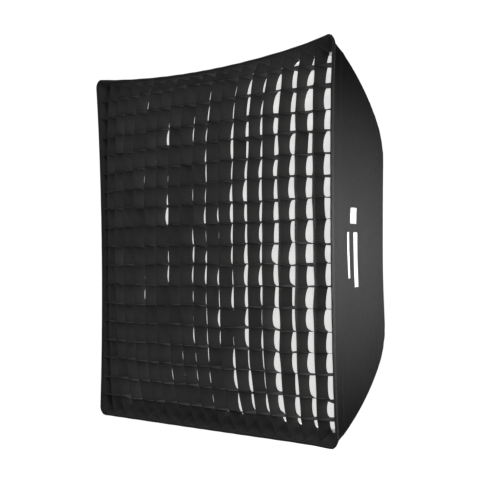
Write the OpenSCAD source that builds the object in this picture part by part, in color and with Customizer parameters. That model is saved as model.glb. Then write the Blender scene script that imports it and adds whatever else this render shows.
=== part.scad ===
// Square rod-type softbox: bayonet speedring, four bent rods, fabric shell with a recessed lip,
// inner baffle, front diffuser and egg-crate grid.
// The origin is the centre of the light's seat on the mount. +Y points out of the rear,
// the front opening faces -Y and +Z is up. Sizes are in millimetres and angles in degrees.

/* [Front] */
// Width and height over the lip's front edge
front_w = 892; // [884:2:900]
// Depth of the lip, from its seam to its front edge
lip_depth = 50; // [48:1:54]
// How far each side of the lip flares out from its seam to its front edge
lip_flare = 21; // [18:1:23]
// How far tension pulls in the middle of each front edge
edge_pull = 11.5; // [9:0.5:14]
// How far the middles of the top and bottom front edges droop
edge_droop = 12.5; // [8:0.5:14]
// How far the middle of each front edge is set back from the corners
edge_back = 4.5; // [0:0.5:6]

/* [Shell] */
// How far tension pulls in the middle of the seam behind the lip
seam_pull = 10; // [8:0.5:12]
// How far the middle of each panel is pulled in, halfway back
panel_pull = 3; // [1:0.5:4]
// Thickness of the shell fabric
shell_t = 1.5; // [1.2:0.1:1.6]

/* [Rods] */
// Rod diameter
rod_d = 6; // [5:0.5:6]
// Bend radius of the front half of each corner
front_bend = 1824; // [1800:4:1900]
// Bend radius of the rear half of each corner
rear_bend = 763; // [755:1:780]
// Angle between a rod and the axis at its front tip
tip_angle = 31.1; // [30.5:0.1:32]
// Angle between a rod and the axis where the bends meet
mid_angle = 41; // [40.5:0.1:41.5]

/* [Speedring] */
// Radius of the hole that the light's tube passes through
bore_r = 49; // [46:0.5:49.5]
// Outer radius of the speedring
ring_r = 76; // [76:0.5:78]
// Length of the speedring's band
ring_len = 45; // [43:1:47]
// Pitch of the lock screw's thread
lock_pitch = 0.8; // [0.7:0.1:1]

/* [Layers] */
// Cells along each side of the egg-crate grid
cells = 18; // [10:2:20]
// Depth of the grid's strips
grid_depth = 38; // [30:1:38]
// Thickness of the grid's strips
strip_t = 0.8; // [0.6:0.1:1]
// How far the middle of the grid bulges forward
grid_bulge = 35; // [22:1:40]
// Width and height of the inner baffle
baffle_w = 516; // [500:2:520]

/* [Hidden] */
$fn = 64;

// Sides and corners, as turns about the Y axis
TOP = 0;
RIGHT = 90;
BOTTOM = 180;
LEFT = 270;
SIDES = [TOP, RIGHT, BOTTOM, LEFT];
BOTTOM_RIGHT = 45;
BOTTOM_LEFT = 135;
TOP_LEFT = 225;
TOP_RIGHT = 315;
CORNERS = [BOTTOM_RIGHT, BOTTOM_LEFT, TOP_LEFT, TOP_RIGHT];

// Colours
cloth_black = "#1b1b1f";
mesh_black = "#2b2a2c";
tape_black = "#141416";
diffuser_white = "#f1f1ee";
metal_black = "#26262a";
metal_bright = "#b9bbbf";

// Clearances: round a part fixed in another, round one that turns, and beyond the end of one
seat_gap = 0.05;
running_gap = 0.1;
end_gap = 0.3;

// How far a cut runs past the face that it opens
past = 1;

// Steps along and across the fabric
bend_steps = 7;
panel_cols = 10;
lip_cols = 16;

// The corner line of the shell, as [distance from the axis, depth behind the front corners]:
// two tangent bends, from the seam behind the lip to the collar
function bend_point(centre, radius, angle) = centre + radius * [cos(angle), sin(angle)];
function rear_angle(rho, inset) = acos((rho - rear_centre[0]) / (rear_bend - inset));
seam_r = front_w / 2 - lip_flare;
seam_start = [seam_r * sqrt(2), lip_depth];
front_centre = bend_point(seam_start, -front_bend, tip_angle);
bend_joint = bend_point(front_centre, front_bend, mid_angle);
rear_centre = bend_point(bend_joint, -rear_bend, mid_angle);
collar_r = 84;
collar_angle = rear_angle(collar_r * sqrt(2), 0);
collar_point = bend_point(rear_centre, rear_bend, collar_angle);

// The rods run inside the corner line, and the depth follows from where they meet the speedring
rod_inset = 8;
rod_r = rod_d / 2;
rear_rod_r = rod_r - 0.25;
rod_lap = 1;
socket_y = -35;
rod_at_ring = bend_point(rear_centre, rear_bend - rod_inset, rear_angle(ring_r, rod_inset));
depth = rod_at_ring[1] - socket_y;

// Speedring and mount, along Y from the light's seat
plate_flange_r = 70;
plate_seat_r = 65.5;
plate_neck_wall = 3;
plate_neck_len = 18;
flange_front = -10.9;
flange_rear = -3.1;
shelf_front = -15;
shelf_r = 65;
band_r = 68;
ring_rear = -3;
ring_front = ring_rear - ring_len;
retainer_rear = -0.5;
retainer_r = 67;

// Bayonet claws
claw_count = 3;
claw_arc = 38;
claw_inner_r = 51;
claw_wall = 3;
claw_hook = 4.5;
claw_foot = 12;
claw_foot_t = 3;
claw_rise = 7.5;
claw_hook_t = 2.5;
claw_screw_r = 1.5;
claw_screw_ring = 59;
claw_screw_turn = 11;
claw_screw_head_r = 2.7;
claw_screw_head_t = 1.8;

// Sockets in the speedring, in line with the rods at their middle
sleeve_r = 5;
sleeve_end = 80;
sleeve_root = 60;
sleeve_floor = 62;
sleeve_gap = 0.2;
socket_rho = (sleeve_end + sleeve_root) / 2;
socket_angle = rear_angle(socket_rho, rod_inset);
socket_point = bend_point(rear_centre, rear_bend - rod_inset, socket_angle);
boss_r = 9;
boss_inner_r = 56;

// Retaining screws
ring_screw_count = 4;
ring_screw_ring = 73;
ring_screw_r = 1.25;
ring_screw_head_r = 2.4;
ring_screw_head_t = 1.2;
ring_screw_len = 10;
ring_screw_end = ring_rear - ring_screw_len + past;

// Lock screw, on the lower right diagonal
lock_y = -9.5;
lock_r = 2.5;
lock_gap = 0.06;
lock_tip = plate_flange_r + 0.2;
lock_boss_r = 6;
lock_boss_root = 72;
lock_boss_end = 83;
lock_knob_start = 85;
lock_knob_len = 14;
lock_knob_r = 9;
lock_shank_end = 94.8;
flute_count = 12;
flute_r = 1.3;
flute_start = 2;

// Rear collar and flaps
collar_t = 1.2;
hole_r = 79;
hole_y = -29;
collar_cols = 64;
flap_w = 52;
flap_t = 1.2;
flap_z = ring_r + 1;
flap_start = -28.6;
flap_end = -5;
flap_fillet = 8;

// Fabric on the lip, as distances in from its outer face
lip_t = 1.2;
loop_tape_in = [1.3, 2.0];
hook_tape_in = [2.4, 3.1];
border_in = [3.2, 4.0];
strip_end_in = 5;
tape_span = 7 / 8;
seam_allowance = 1.2;
border_front = 4;
border_rear = 42;
tape_front = 12;
tape_rear = 34;
binding_leg = 7;
binding_t = 0.7;
binding_gap = 0.2;
binding_nose = 0.9;

// Fabric behind the seam, as distances in from the corner line
diffuser_loop_in = [1.7, 2.5];
hem_in = [3.1, 4.1];
diffuser_in = 5.2;
diffuser_span = 0.93;
diffuser_y = 53.5;
diffuser_t = 1;
hem_front = 51.5;
hem_rear = 70;
seam_tape_in = [1.9, 2.4];
seam_tape_leg = 14;
seam_tape_start = 2;

// Rod ends, pockets and keepers, as lengths along a rod from the seam behind the lip
rod_tip_start = 8;
rod_tip_len = 16;
rod_tip_r = 3.1;
rod_tip_cap = 2;
rod_tip_core_r = 2;
pocket_start = 5;
pocket_len = 44;
pocket_wall = 1.1;
keeper_angle = 36;
keeper_len = 42;
keeper_gap = 0.15;
keeper_wall = 0.8;

// Inner baffle
baffle_y = 300;
baffle_t = 1;
baffle_binding_w = 12;
baffle_binding_wall = 0.7;
strap_w = 18;
strap_t = 0.8;
strap_y = baffle_y + 2.2;
strap_start = 344;
snap_rho = baffle_w / sqrt(2) - 14;
snap_r = 6;
snap_h = 2.5;
stud_r = 2.2;
stud_h = 1.6;
snap_gap = 0.2;

// Grid
grid_half = front_w / 2 - 5;
pitch = 2 * grid_half / cells;
crossings = [-(cells / 2 - 1) : cells / 2 - 1];
slot_half = strip_t / 2 + 0.2;
slot_gap = 0.15;
grid_inset_y = 3;

function mix(a, b, t) = a + (b - a) * t;

// A corner's line at a distance in from the fabric, from the seam back to the collar
function seam_line(inset) = concat(
    [for (i = [0 : bend_steps])
        bend_point(front_centre, front_bend - inset, mix(tip_angle, mid_angle, i / bend_steps))],
    [for (i = [1 : bend_steps])
        bend_point(rear_centre, rear_bend - inset, mix(mid_angle, collar_angle, i / bend_steps))]
);

// Where the front bend lies at a given depth, and the distance from the axis there
function bend_angle(y, inset) = asin((y - front_centre[1]) / (front_bend - inset));
function bend_rho(y, inset) = front_centre[0] + (front_bend - inset) * cos(bend_angle(y, inset));

// Gravity adds to the pull at the top and takes it away at the bottom
function side_pull(side, pull, droop) = pull + droop * cos(side) * (side % 180 == 0 ? 1 : 0);
function lip_pull(side, s) = side_pull(side, mix(seam_pull, edge_pull, s), edge_droop * s);
function panel_sag(side, v) = seam_pull * pow(1 - v, 2) + panel_pull * 4 * v * (1 - v);

// A point of the lip: u runs from -1 to 1 along the side, s from 0 at the seam to 1 at the edge
function lip_r(s, inset) = mix(seam_r, front_w / 2, s) - inset * sqrt(1 + pow(lip_flare / lip_depth, 2));
function lip_point(side, u, s, inset) = [
    u * (lip_r(s, inset) - end_gap),
    (1 - s) * lip_depth + edge_back * s * (1 - u * u) - depth,
    lip_r(s, inset) - lip_pull(side, s) * (1 - u * u)
];
function lip_face(side, span, stations, inset) =
    let (cols = round(span * lip_cols))
    [for (s = stations) [for (j = [0 : cols]) lip_point(side, span * (2 * j / cols - 1), s, inset)]];

// Everything sewn to the lip has its rows and columns in common with it, so that no facets cross
function station(y) = 1 - y / lip_depth;
lip_depths = [lip_depth - seam_allowance, border_rear, tape_rear, tape_front, binding_leg, border_front, 0];
function stations_between(rear, front) = [for (y = lip_depths) if (y <= rear && y >= front) station(y)];

// A panel's face between two depths of its corner line
function panel_row(side, p, v, span, cols) = [
    for (j = [0 : cols])
        let (u = span * (2 * j / cols - 1), r = p[0] / sqrt(2))
        [u * (r - end_gap), p[1] - depth, r - panel_sag(side, v) * (1 - u * u)]
];
function panel_face(side, inset) =
    let (line = seam_line(inset), last = len(line) - 1)
    [for (i = [0 : last]) panel_row(side, line[i], i / last, 1, panel_cols)];
function hem_face(side, inset, span) = [
    for (y = [hem_front, hem_rear]) panel_row(side, [bend_rho(y, inset), y], 0, span, lip_cols)
];

function quad(a, b, c, d) = [[a, b, c], [a, c, d]];

// A thin solid between two grids of points; closed joins the last column to the first
module sheet(a, b, closed = false) {
    rows = len(a);
    cols = len(a[0]);
    n = rows * cols;
    spans = closed ? cols : cols - 1;
    function at(i, j) = i * cols + j % cols;
    faces = concat(
        [for (i = [0 : rows - 2], j = [0 : spans - 1])
            each quad(at(i, j), at(i, j + 1), at(i + 1, j + 1), at(i + 1, j))],
        [for (i = [0 : rows - 2], j = [0 : spans - 1])
            each quad(n + at(i, j), n + at(i + 1, j), n + at(i + 1, j + 1), n + at(i, j + 1))],
        [for (j = [0 : spans - 1])
            each quad(at(0, j), n + at(0, j), n + at(0, j + 1), at(0, j + 1))],
        [for (j = [0 : spans - 1])
            each quad(at(rows - 1, j + 1), n + at(rows - 1, j + 1), n + at(rows - 1, j), at(rows - 1, j))],
        closed ? [] : [for (i = [0 : rows - 2])
            each quad(at(i + 1, 0), n + at(i + 1, 0), n + at(i, 0), at(i, 0))],
        closed ? [] : [for (i = [0 : rows - 2])
            each quad(at(i, cols - 1), n + at(i, cols - 1), n + at(i + 1, cols - 1), at(i + 1, cols - 1))]
    );
    polyhedron([for (row = concat(a, b)) each row], faces);
}

// Stands children that are modelled on the Z axis along +Y
module about_y() {
    rotate([-90, 0, 0]) children();
}

// A side's frame: X runs along the side and Z out of it
module on_side(side) {
    rotate([0, side, 0]) children();
}

// A corner's frame: X runs out along the diagonal, and Y back from the front corners
module on_corner(corner) {
    rotate([0, corner, 0]) translate([0, -depth, 0]) children();
}

// A round bar or tube that follows a bend of the rods
module bend_bar(centre, radius, from, to, outer, inner = 0) {
    translate(centre) rotate(from) rotate_extrude(angle = to - from, $fn = 360)
        translate([radius, 0]) difference() {
            circle(outer, $fn = 32);
            if (inner > 0) circle(inner, $fn = 32);
        }
}

// A round bar along a socket, between two distances from the axis
module socket_bar(from, to, radius) {
    translate(socket_point) rotate([0, 0, socket_angle]) rotate([-90, 0, 0])
        translate([0, 0, (socket_rho - from) / sin(socket_angle)])
            cylinder(r = radius, h = (from - to) / sin(socket_angle), $fn = 48);
}

// A round bar from a distance behind the seam, along the rod's front end
function tip_turn(len) = len / (front_bend - rod_inset) * 180 / PI;
module tip_bar(from, len, radius) {
    bend_bar(front_centre, front_bend - rod_inset, tip_angle + tip_turn(from),
        tip_angle + tip_turn(from + len), radius);
}

// ---- Light mount ----

module claw_shape(angle, gap) {
    rotate(-angle / 2) rotate_extrude(angle = angle) polygon([
        [claw_inner_r - gap, -claw_foot_t - gap],
        [claw_inner_r + claw_foot + gap, -claw_foot_t - gap],
        [claw_inner_r + claw_foot + gap, 0],
        [claw_inner_r + claw_wall, 0],
        [claw_inner_r + claw_wall, claw_rise - claw_hook_t],
        [claw_inner_r + claw_wall + claw_hook, claw_rise - claw_hook_t],
        [claw_inner_r + claw_wall + claw_hook, claw_rise],
        [claw_inner_r - gap, claw_rise]
    ]);
}

module at_claw_screws() {
    for (k = [0 : claw_count - 1], turn = [-claw_screw_turn, claw_screw_turn])
        rotate(k * 360 / claw_count + turn) translate([claw_screw_ring, 0, 0]) children();
}

module mount_plate() {
    color(metal_bright) about_y() difference() {
        union() {
            translate([0, 0, flange_front])
                cylinder(r = plate_flange_r, h = flange_rear - flange_front, $fn = 128);
            translate([0, 0, flange_front])
                cylinder(r = plate_seat_r, h = -flange_front, $fn = 128);
            translate([0, 0, -plate_neck_len])
                cylinder(r = bore_r + plate_neck_wall, h = plate_neck_len, $fn = 128);
        }
        translate([0, 0, -plate_neck_len - past])
            cylinder(r = bore_r, h = plate_neck_len + claw_rise, $fn = 128);
        for (k = [0 : claw_count - 1])
            rotate(k * 360 / claw_count) claw_shape(claw_arc + 2 * seat_gap, seat_gap);
        at_claw_screws()
            translate([0, 0, flange_front - past])
                cylinder(r = claw_screw_r + seat_gap, h = -flange_front + past, $fn = 24);
    }
}

module bayonet_claws() {
    color(metal_bright) about_y() difference() {
        for (k = [0 : claw_count - 1])
            rotate(k * 360 / claw_count) claw_shape(claw_arc, 0);
        at_claw_screws()
            translate([0, 0, -claw_foot_t - past])
                cylinder(r = claw_screw_r + seat_gap, h = claw_foot_t + 2 * past, $fn = 24);
    }
}

module claw_screws() {
    color(metal_bright) about_y() at_claw_screws() {
        translate([0, 0, flange_front - claw_screw_head_t - seat_gap])
            difference() {
                cylinder(r = claw_screw_head_r, h = claw_screw_head_t, $fn = 32);
                translate([0, 0, -past])
                    cylinder(r = claw_screw_head_r / 2, h = past + claw_screw_head_t / 2, $fn = 6);
            }
        translate([0, 0, flange_front - seat_gap])
            cylinder(r = claw_screw_r, h = -flange_front - end_gap, $fn = 24);
    }
}

// ---- Speedring ----

module on_lock_axis() {
    rotate([0, BOTTOM_RIGHT, 0]) translate([0, lock_y, 0]) rotate([0, 90, 0]) children();
}

module band() {
    about_y() rotate_extrude($fn = 128) polygon([
        [band_r, ring_front],
        [ring_r, ring_front],
        [ring_r, ring_rear],
        [plate_flange_r + running_gap, ring_rear],
        [plate_flange_r + running_gap, flange_front - running_gap],
        [shelf_r, flange_front - running_gap],
        [shelf_r, shelf_front],
        [band_r, shelf_front - (band_r - shelf_r)]
    ]);
}

module socket_bosses() {
    intersection() {
        for (corner = CORNERS) on_corner(corner) socket_bar(ring_r, boss_inner_r - boss_r, boss_r);
        about_y() translate([0, 0, ring_front]) difference() {
            cylinder(r = (band_r + ring_r) / 2, h = shelf_front - ring_front, $fn = 128);
            translate([0, 0, -past]) cylinder(r = boss_inner_r, h = ring_len, $fn = 128);
        }
    }
}

module speedring() {
    color(metal_black) difference() {
        union() {
            band();
            socket_bosses();
            on_lock_axis() translate([0, 0, lock_boss_root])
                cylinder(r = lock_boss_r, h = lock_boss_end - lock_boss_root, $fn = 48);
        }
        for (corner = CORNERS) on_corner(corner) socket_bar(sleeve_end, sleeve_root, sleeve_r + seat_gap);
        on_lock_axis() translate([0, 0, plate_flange_r - past])
            cylinder(r = lock_r + lock_gap, h = lock_boss_end - plate_flange_r + 2 * past, $fn = 48);
        about_y() cylinder(r = plate_flange_r + running_gap, h = -2 * (flange_front - running_gap),
            center = true, $fn = 128);
        about_y() at_ring_screws() translate([0, 0, ring_rear - ring_screw_len])
            cylinder(r = ring_screw_r + seat_gap, h = ring_screw_len + past, $fn = 24);
    }
}

module at_ring_screws() {
    for (k = [0 : ring_screw_count - 1])
        rotate(k * 360 / ring_screw_count) translate([ring_screw_ring, 0, 0]) children();
}

module through_retainer() {
    translate([0, 0, ring_rear - past]) children();
}

module retaining_ring() {
    retainer_cut = retainer_rear - ring_rear + 2 * past;
    color(metal_black) about_y() difference() {
        translate([0, 0, ring_rear + running_gap])
            cylinder(r = ring_r, h = retainer_rear - ring_rear - running_gap, $fn = 128);
        through_retainer() cylinder(r = retainer_r, h = retainer_cut, $fn = 128);
        at_ring_screws() {
            through_retainer() cylinder(r = ring_screw_r + running_gap, h = retainer_cut, $fn = 24);
            translate([0, 0, retainer_rear - ring_screw_head_t - running_gap])
                cylinder(r = ring_screw_head_r + running_gap, h = retainer_cut, $fn = 32);
        }
    }
}

module ring_screws() {
    color(metal_bright) about_y() at_ring_screws() {
        translate([0, 0, retainer_rear - ring_screw_head_t]) difference() {
            cylinder(r = ring_screw_head_r, h = ring_screw_head_t, $fn = 32);
            translate([0, 0, ring_screw_head_t / 2])
                cylinder(r = ring_screw_head_r / 2, h = ring_screw_head_t, $fn = 6);
        }
        translate([0, 0, ring_screw_end])
            cylinder(r = ring_screw_r, h = retainer_rear - ring_screw_head_t - ring_screw_end, $fn = 24);
    }
}

module rod_sockets() {
    color(metal_bright) for (corner = CORNERS) on_corner(corner) difference() {
        socket_bar(sleeve_end, sleeve_root + end_gap, sleeve_r);
        socket_bar(sleeve_end + past, sleeve_floor, rear_rod_r + sleeve_gap);
    }
}

// ---- Rods ----

module rod(corner) {
    color(metal_bright) on_corner(corner) {
        tip_bar(rod_tip_start + rod_tip_cap, rod_tip_len, rod_tip_core_r);
        bend_bar(front_centre, front_bend - rod_inset, tip_angle + tip_turn(rod_tip_start + rod_tip_len),
            mid_angle, rod_r);
        bend_bar(rear_centre, rear_bend - rod_inset, mid_angle - rod_lap,
            rear_angle(sleeve_floor + 1, rod_inset), rear_rod_r);
    }
}

module rod_top_left() {
    rod(TOP_LEFT);
}

module rod_top_right() {
    rod(TOP_RIGHT);
}

module rod_bottom_left() {
    rod(BOTTOM_LEFT);
}

module rod_bottom_right() {
    rod(BOTTOM_RIGHT);
}

module rod_tips() {
    color(tape_black) for (corner = CORNERS) on_corner(corner) difference() {
        tip_bar(rod_tip_start, rod_tip_len - 2 * seat_gap, rod_tip_r);
        tip_bar(rod_tip_start + rod_tip_cap - 2 * seat_gap, rod_tip_len, rod_tip_core_r + seat_gap);
    }
}

module corner_pockets() {
    inner = rod_tip_r + end_gap;
    color(tape_black) for (corner = CORNERS) on_corner(corner) difference() {
        tip_bar(pocket_start, pocket_len, inner + pocket_wall);
        tip_bar(rod_tip_start - end_gap, pocket_len, inner);
    }
}

module rod_keepers() {
    half = keeper_len / (front_bend - rod_inset) * 90 / PI;
    color(tape_black) for (corner = CORNERS) on_corner(corner)
        bend_bar(front_centre, front_bend - rod_inset, keeper_angle - half, keeper_angle + half,
            rod_r + keeper_gap + keeper_wall, rod_r + keeper_gap);
}

// ---- Shell ----

module panel(side) {
    color(cloth_black) on_side(side) sheet(panel_face(side, shell_t), panel_face(side, 0));
}

module panel_top() {
    panel(TOP);
}

module panel_right() {
    panel(RIGHT);
}

module panel_bottom() {
    panel(BOTTOM);
}

module panel_left() {
    panel(LEFT);
}

// A folded tape inside a corner, as rows along the corner line; its legs lie along the sagging panels
function seam_tape_face(inset) =
    let (line = seam_line(inset), last = len(line) - 1)
    [for (i = [seam_tape_start : last - 1])
        let (
            r = line[i][0] / sqrt(2),
            y = line[i][1] - depth,
            leg_end = r - seam_tape_leg,
            leg_drop = 2 * panel_sag(0, i / last) * seam_tape_leg / r
        )
        [[leg_end, y, r - leg_drop], [r, y, r], [r - leg_drop, y, leg_end]]];

module seam_tapes() {
    color(tape_black) for (side = SIDES) on_side(side)
        sheet(seam_tape_face(seam_tape_in[1]), seam_tape_face(seam_tape_in[0]));
}

// The collar turns from the panels' square end to the round hole about the speedring
function collar_row(t, inset) =
    let (square_y = collar_point[1] - depth + end_gap)
    [for (j = [0 : collar_cols - 1])
        let (turn = 360 * j / collar_cols,
            square = (collar_r - inset) / max(abs(cos(turn)), abs(sin(turn))),
            r = mix(square, hole_r + collar_t - inset, t))
        [r * sin(turn), mix(square_y, hole_y, t) - inset * (1 - t), r * cos(turn)]];

module rear_collar() {
    rows = [0, 0.5, 1];
    color(cloth_black)
        sheet([for (t = rows) collar_row(t, collar_t)], [for (t = rows) collar_row(t, 0)], true);
}

module lip(side) {
    stations = stations_between(lip_depth, 0);
    color(cloth_black) on_side(side)
        sheet(lip_face(side, 1, stations, 0), lip_face(side, 1, stations, lip_t));
}

module lip_top() {
    lip(TOP);
}

module lip_right() {
    lip(RIGHT);
}

module lip_bottom() {
    lip(BOTTOM);
}

module lip_left() {
    lip(LEFT);
}

// A tape folded over the lip's front edge, as rows from its outer leg round to its inner one
module edge_binding() {
    outer = -binding_gap;
    inner = lip_t + binding_gap;
    leg = stations_between(binding_leg, border_front);
    function folded(side, out_in, in_in, tip) =
        let (rows = concat(leg, [1 + tip / lip_depth]), last = len(rows) - 1)
        concat(
            lip_face(side, 1, rows, out_in),
            lip_face(side, 1, [for (i = [last : -1 : 0]) rows[i]], in_in)
        );
    color(tape_black) for (side = SIDES) on_side(side) sheet(
        folded(side, outer - binding_t, inner + binding_t, binding_nose),
        folded(side, outer, inner, binding_gap)
    );
}

module lip_band(side, span, front, rear, inset) {
    stations = stations_between(rear, front);
    on_side(side)
        sheet(lip_face(side, span, stations, inset[0]), lip_face(side, span, stations, inset[1]));
}

module grid_loop_tape() {
    color(tape_black) for (side = SIDES) lip_band(side, tape_span, tape_front, tape_rear, loop_tape_in);
}

module hem_band(side, inset, span) {
    on_side(side) sheet(hem_face(side, inset[1], span), hem_face(side, inset[0], span));
}

module diffuser_loop_tape() {
    color(tape_black) for (side = SIDES) hem_band(side, diffuser_loop_in, tape_span);
}

// ---- Rear flaps ----

module rear_flap(side) {
    color(cloth_black) on_side(side) translate([0, 0, flap_z])
        linear_extrude(flap_t) hull() {
            translate([-flap_w / 2, flap_start]) square([flap_w, flap_t]);
            for (x = [-1, 1])
                translate([x * (flap_w / 2 - flap_fillet), flap_end - flap_fillet]) circle(flap_fillet, $fn = 32);
        }
}

module rear_flap_top() {
    rear_flap(TOP);
}

module rear_flap_right() {
    rear_flap(RIGHT);
}

module rear_flap_bottom() {
    rear_flap(BOTTOM);
}

module rear_flap_left() {
    rear_flap(LEFT);
}

// ---- Lock screw ----

module lock_screw() {
    color(metal_bright) on_lock_axis() translate([0, 0, lock_tip])
        cylinder(r = lock_r, h = lock_shank_end - lock_tip, $fn = 48);
}

module lock_knob() {
    color(tape_black) on_lock_axis() translate([0, 0, lock_knob_start]) difference() {
        cylinder(r = lock_knob_r, h = lock_knob_len, $fn = 64);
        translate([0, 0, -past])
            cylinder(r = lock_r + lock_gap, h = lock_shank_end - lock_knob_start + past + end_gap, $fn = 48);
        for (k = [0 : flute_count - 1])
            rotate(k * 360 / flute_count) translate([lock_knob_r + flute_r / 3, 0, flute_start])
                cylinder(r = flute_r, h = lock_knob_len, $fn = 24);
    }
}

// ---- Inner baffle ----

module at_baffle_depth(y) {
    translate([0, y - depth, 0]) rotate([90, 0, 0]) children();
}

module at_snaps() {
    for (corner = CORNERS) on_corner(corner) translate([snap_rho, baffle_y, 0]) rotate([90, 0, 0])
        children();
}

module baffle_square(size, thickness) {
    linear_extrude(thickness, center = true) square(size, center = true);
}

module baffle_sheet() {
    color(diffuser_white) difference() {
        at_baffle_depth(baffle_y) baffle_square(baffle_w, baffle_t);
        at_snaps() cylinder(r = stud_r + snap_gap, h = 4 * baffle_t, center = true, $fn = 32);
    }
}

module baffle_binding() {
    wrap = running_gap + baffle_binding_wall;
    through = 4 * (baffle_t + wrap);
    color(tape_black) difference() {
        at_baffle_depth(baffle_y) baffle_square(baffle_w + 2 * wrap, baffle_t + 2 * wrap);
        at_baffle_depth(baffle_y) baffle_square(baffle_w - 2 * baffle_binding_w, through);
        at_baffle_depth(baffle_y) baffle_square(baffle_w + 2 * running_gap, baffle_t + 2 * running_gap);
        at_snaps() cylinder(r = snap_r + snap_gap, h = through, center = true, $fn = 48);
    }
}

module baffle_snaps() {
    color(metal_black) at_snaps() translate([0, 0, baffle_t / 2 + seat_gap]) difference() {
        cylinder(r = snap_r, h = snap_h, $fn = 48);
        translate([0, 0, -past]) cylinder(r = stud_r + snap_gap, h = past + stud_h, $fn = 32);
    }
}

// Each strap loops round its rod and carries the stud that the baffle snaps onto
module baffle_straps() {
    angle = asin((strap_y - front_centre[1]) / (front_bend - rod_inset));
    at_rod = bend_point(front_centre, front_bend - rod_inset, angle);
    half = strap_w / (front_bend - rod_inset) * 90 / PI;
    inner = rod_r + keeper_gap;
    color(tape_black) for (corner = CORNERS) on_corner(corner) difference() {
        union() {
            bend_bar(front_centre, front_bend - rod_inset, angle - half, angle + half, inner + strap_t);
            translate([strap_start, strap_y - strap_t / 2, -strap_w / 2])
                cube([at_rod[0] - inner - strap_t / 2 - strap_start, strap_t, strap_w]);
            translate([snap_rho, strap_y, 0]) rotate([90, 0, 0])
                cylinder(r = stud_r, h = strap_y - baffle_y + baffle_t / 2 + stud_h - end_gap, $fn = 32);
        }
        bend_bar(front_centre, front_bend - rod_inset, angle - 2 * half, angle + 2 * half, inner);
    }
}

// ---- Front diffuser ----

// The sheet's outline follows the pulled-in seam and is cut short of the rod pockets
module diffuser_sheet() {
    r = bend_rho(diffuser_y, diffuser_in) / sqrt(2);
    outline = [
        for (side = SIDES, j = [0 : lip_cols])
            let (u = diffuser_span * (2 * j / lip_cols - 1), z = r - panel_sag(side, 0) * (1 - u * u))
            [u * r * cos(side) + z * sin(side), -u * r * sin(side) + z * cos(side)]
    ];
    color(diffuser_white) translate([0, diffuser_y + diffuser_t - depth, 0]) rotate([90, 0, 0])
        linear_extrude(diffuser_t) polygon(outline);
}

module diffuser_hem() {
    color(diffuser_white) for (side = SIDES) hem_band(side, hem_in, tape_span);
}

// ---- Egg-crate grid ----

// Depth of the grid's front surface: it follows the edges and bulges forward in the middle
function unit(x) = min(abs(x) / grid_half, 1);
function grid_front(x, z) = grid_inset_y
    + edge_back * (2 - pow(unit(x), 2) - pow(unit(z), 2))
    - (grid_bulge + 2 * edge_back) * (1 - pow(unit(x), 4)) * (1 - pow(unit(z), 4));

// How far a strip reaches towards a side before it meets the border
function strip_reach(side, along, y) =
    let (
        slack = 1 - pow(along / lip_r(station(y), 0), 2),
        s = (lip_depth - y) / (lip_depth - edge_back * slack)
    )
    lip_r(s, strip_end_in) - lip_pull(side, s) * slack;

// The end of a strip's front or back edge, as [depth, distance from the middle]
function strip_end(side, along, back) =
    let (y = grid_front(along, grid_half) + back)
    [y, strip_reach(side, along, y)];

// A strip's side view as [depth, position along it]; slots reach halfway in from one edge
function strip_outline(low_side, high_side, along, slot_front) =
    let (
        low_front = strip_end(low_side, along, 0),
        low_back = strip_end(low_side, along, grid_depth),
        high_front = strip_end(high_side, along, 0),
        high_back = strip_end(high_side, along, grid_depth)
    )
    concat(
        [[low_front[0], -low_front[1]]],
        [for (k = crossings) each slotted(along, k * pitch, 0, slot_front)],
        [high_front],
        [high_back],
        [for (k = crossings) each slotted(along, -k * pitch, grid_depth, !slot_front)],
        [[low_back[0], -low_back[1]]]
    );
function slotted(along, at, back, cut) =
    let (
        edge = grid_front(along, at) + back,
        floor = grid_front(along, at) + grid_depth / 2 + (back == 0 ? slot_gap : -slot_gap),
        turn = back == 0 ? 1 : -1
    )
    cut
        ? [[edge, at - turn * slot_half], [floor, at - turn * slot_half],
            [floor, at + turn * slot_half], [edge, at + turn * slot_half]]
        : [[edge, at]];

module grid_verticals() {
    color(mesh_black) for (k = crossings)
        translate([k * pitch, -depth, 0]) rotate([90, 0, 90])
            linear_extrude(strip_t, center = true)
                polygon(strip_outline(BOTTOM, TOP, k * pitch, true));
}

module grid_horizontals() {
    color(mesh_black) for (k = crossings)
        translate([0, -depth, k * pitch]) mirror([1, -1, 0])
            linear_extrude(strip_t, center = true)
                polygon(strip_outline(LEFT, RIGHT, k * pitch, false));
}

module grid_border() {
    color(mesh_black) for (side = SIDES) lip_band(side, 1, border_front, border_rear, border_in);
}

module grid_hook_tape() {
    color(tape_black) for (side = SIDES) lip_band(side, tape_span, tape_front, tape_rear, hook_tape_in);
}

mount_plate();
bayonet_claws();
claw_screws();
speedring();
retaining_ring();
ring_screws();
rod_sockets();
rod_top_left();
rod_top_right();
rod_bottom_left();
rod_bottom_right();
rod_tips();
rod_keepers();
corner_pockets();
panel_top();
panel_bottom();
panel_left();
panel_right();
seam_tapes();
rear_collar();
lip_top();
lip_bottom();
lip_left();
lip_right();
edge_binding();
grid_loop_tape();
diffuser_loop_tape();
baffle_straps();
rear_flap_top();
rear_flap_bottom();
rear_flap_left();
rear_flap_right();
lock_screw();
lock_knob();
baffle_sheet();
baffle_binding();
baffle_snaps();
diffuser_sheet();
diffuser_hem();
grid_verticals();
grid_horizontals();
grid_border();
grid_hook_tape();
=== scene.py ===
import math

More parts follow.
